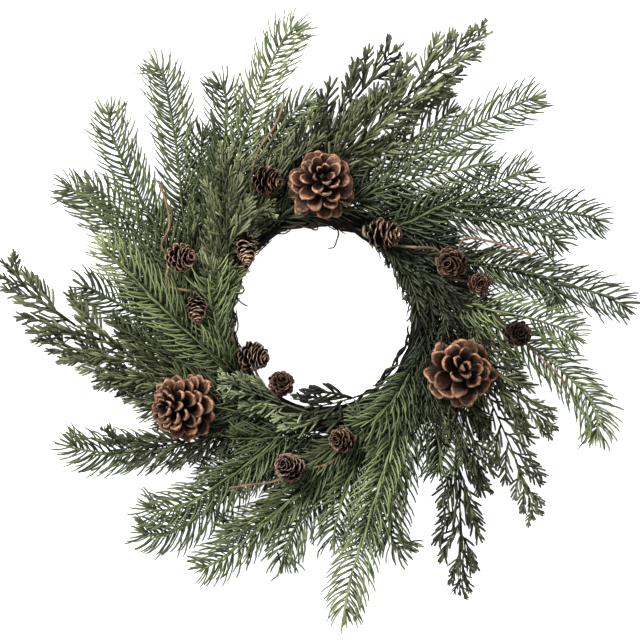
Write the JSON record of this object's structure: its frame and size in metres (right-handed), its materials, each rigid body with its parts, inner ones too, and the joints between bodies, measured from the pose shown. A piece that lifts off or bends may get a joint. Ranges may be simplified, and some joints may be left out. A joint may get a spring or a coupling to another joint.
{
  "type": "pinecone wreath",
  "caption": "Round wreath of fir and cedar sprays swept one way round a vine ring, with open pine cones and small larch cones on twigs.",
  "frame": {"origin": "under the middle of the wreath's bounding box, on the surface that it lies on", "axes": "+Z out of the wreath's face, +Y towards its top as it hangs, +X to the right as seen from the front"},
  "size_m": [0.6092, 0.5702, 0.0796],
  "materials": {
    "vine": "dry dark vine bark, rough",
    "twig": "thin bare larch twig, matt",
    "light_fir": "fresh light green needles, softly waxy",
    "mid_fir": "mid green needles, softly waxy",
    "dark_fir": "dark green needles, softly waxy",
    "olive_cedar": "olive cedar leaflets, matt",
    "dark_cedar": "dark cedar leaflets, matt",
    "sage_cedar": "grey green cedar leaflets, matt with a bloom",
    "pine_cone": "dry open scales, brown with paler tips",
    "larch_brown": "dry small cone, brown",
    "larch_tan": "dry small cone, tan",
    "larch_dark": "dry small cone, very dark brown"
  },
  "bodies": {
    "root": {"vine_ring": "vine", "wire_twig_01": "twig", "wire_twig_02": "twig", "wire_twig_03": "twig", "wire_twig_04": "twig", "wire_twig_05": "twig", "wire_twig_06": "twig", "larch_cone_01": "larch_brown", "larch_cone_02": "larch_brown", "larch_cone_03": "larch_tan", "larch_cone_04": "larch_brown", "larch_cone_05": "larch_tan", "larch_cone_06": "larch_brown", "larch_cone_07": "larch_tan", "larch_cone_08": "larch_brown", "larch_cone_09": "larch_brown", "larch_cone_10": "larch_dark", "larch_cone_11": "larch_brown", "larch_cone_12": "larch_dark", "pine_cone_top": "pine_cone", "pine_cone_left": "pine_cone", "pine_cone_right": "pine_cone", "fir_spray_01": "light_fir", "fir_spray_02": "dark_fir", "fir_spray_03": "mid_fir", "fir_spray_04": "mid_fir", "fir_spray_05": "light_fir", "fir_spray_06": "dark_fir", "fir_spray_07": "mid_fir", "fir_spray_08": "mid_fir", "fir_spray_09": "mid_fir", "fir_spray_10": "mid_fir", "fir_spray_11": "light_fir", "fir_spray_12": "mid_fir", "fir_spray_13": "light_fir", "fir_spray_14": "light_fir", "fir_spray_15": "dark_fir", "fir_spray_16": "dark_fir", "fir_spray_17": "mid_fir", "fir_spray_18": "light_fir", "fir_spray_19": "mid_fir", "fir_spray_20": "light_fir", "cedar_spray_01": "olive_cedar", "cedar_spray_02": "olive_cedar", "cedar_spray_03": "dark_cedar", "cedar_spray_04": "dark_cedar", "cedar_spray_05": "olive_cedar", "cedar_spray_06": "dark_cedar", "cedar_spray_07": "dark_cedar", "cedar_spray_08": "olive_cedar", "cedar_spray_09": "olive_cedar", "cedar_spray_10": "olive_cedar", "cedar_spray_11": "sage_cedar", "cedar_spray_12": "sage_cedar", "cedar_spray_13": "dark_cedar", "cedar_spray_14": "olive_cedar"}
  },
  "joints": []
}
